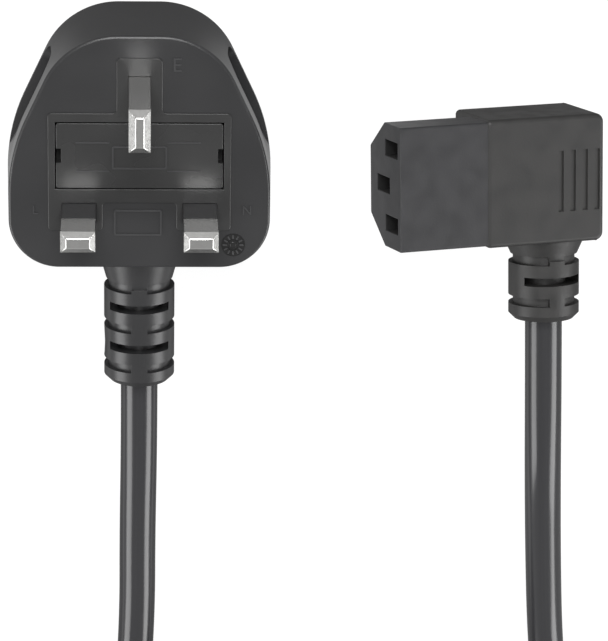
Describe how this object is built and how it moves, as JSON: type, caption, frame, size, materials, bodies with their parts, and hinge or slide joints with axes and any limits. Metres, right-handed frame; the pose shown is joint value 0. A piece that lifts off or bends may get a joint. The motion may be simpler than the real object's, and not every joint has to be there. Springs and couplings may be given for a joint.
{
  "type": "uk three pin plug",
  "caption": "Moulded three pin mains plug with a pull-out fuse carrier, flexible lead relief and a coiled lead to a right-angled appliance connector.",
  "frame": {"origin": "on the plug's flat back face, midway between the earth pin and the line through the two current pins", "axes": "+Z out of the pin face along the pins, +Y from the lead towards the earth pin, +X to the right with the pins facing the reader"},
  "size_m": [0.1175, 0.2456, 0.0435],
  "materials": {
    "overmould_pvc": "satin black moulded PVC",
    "insert_nylon": "fine matt black nylon",
    "carrier_nylon": "satin black nylon",
    "sleeve_nylon": "satin black pin sleeve",
    "pin_nickel": "bright nickel plate over brass",
    "clip_copper": "sprung phosphor bronze strip",
    "fuse_cap": "nickel plated cap",
    "fuse_ceramic": "glazed ceramic tube",
    "fuse_sand": "quartz sand",
    "fuse_wire": "drawn silvered wire",
    "lead_pvc": "smooth semi-gloss PVC sheath",
    "wire_brown": "brown PVC core",
    "wire_blue": "blue PVC core",
    "wire_green_yellow": "green and yellow PVC core"
  },
  "bodies": {
    "plug": {"plug_overmould": "overmould_pvc", "pin_carrier": "insert_nylon", "line_fuse_clip": "clip_copper", "supply_fuse_clip": "clip_copper", "earth_crimp": "clip_copper", "neutral_crimp": "clip_copper", "earth_pin": "pin_nickel", "line_pin": "pin_nickel", "neutral_pin": "pin_nickel", "line_pin_sleeve": "sleeve_nylon", "neutral_pin_sleeve": "sleeve_nylon", "plug_earth_wire": "wire_green_yellow", "plug_live_wire": "wire_brown", "plug_neutral_wire": "wire_blue", "lead_at_plug": "lead_pvc", "lead_coil": "lead_pvc", "lead_at_connector": "lead_pvc", "connector_overmould": "overmould_pvc", "connector_insert": "insert_nylon", "connector_contact_line": "clip_copper", "connector_contact_earth": "clip_copper", "connector_contact_neutral": "clip_copper", "connector_line_wire": "wire_brown", "connector_earth_wire": "wire_green_yellow", "connector_neutral_wire": "wire_blue"},
    "fuse_carrier": {"fuse_carrier": "carrier_nylon", "fuse_tube": "fuse_ceramic", "fuse_sand": "fuse_sand", "fuse_element": "fuse_wire", "fuse_cap_line": "fuse_cap", "fuse_cap_supply": "fuse_cap"}
  },
  "joints": [
    {"name": "fuse_carrier_pull", "type": "slide", "parent": "plug", "child": "fuse_carrier", "axis": [0, 0, 1], "range_m": [0, 0.014]}
  ]
}
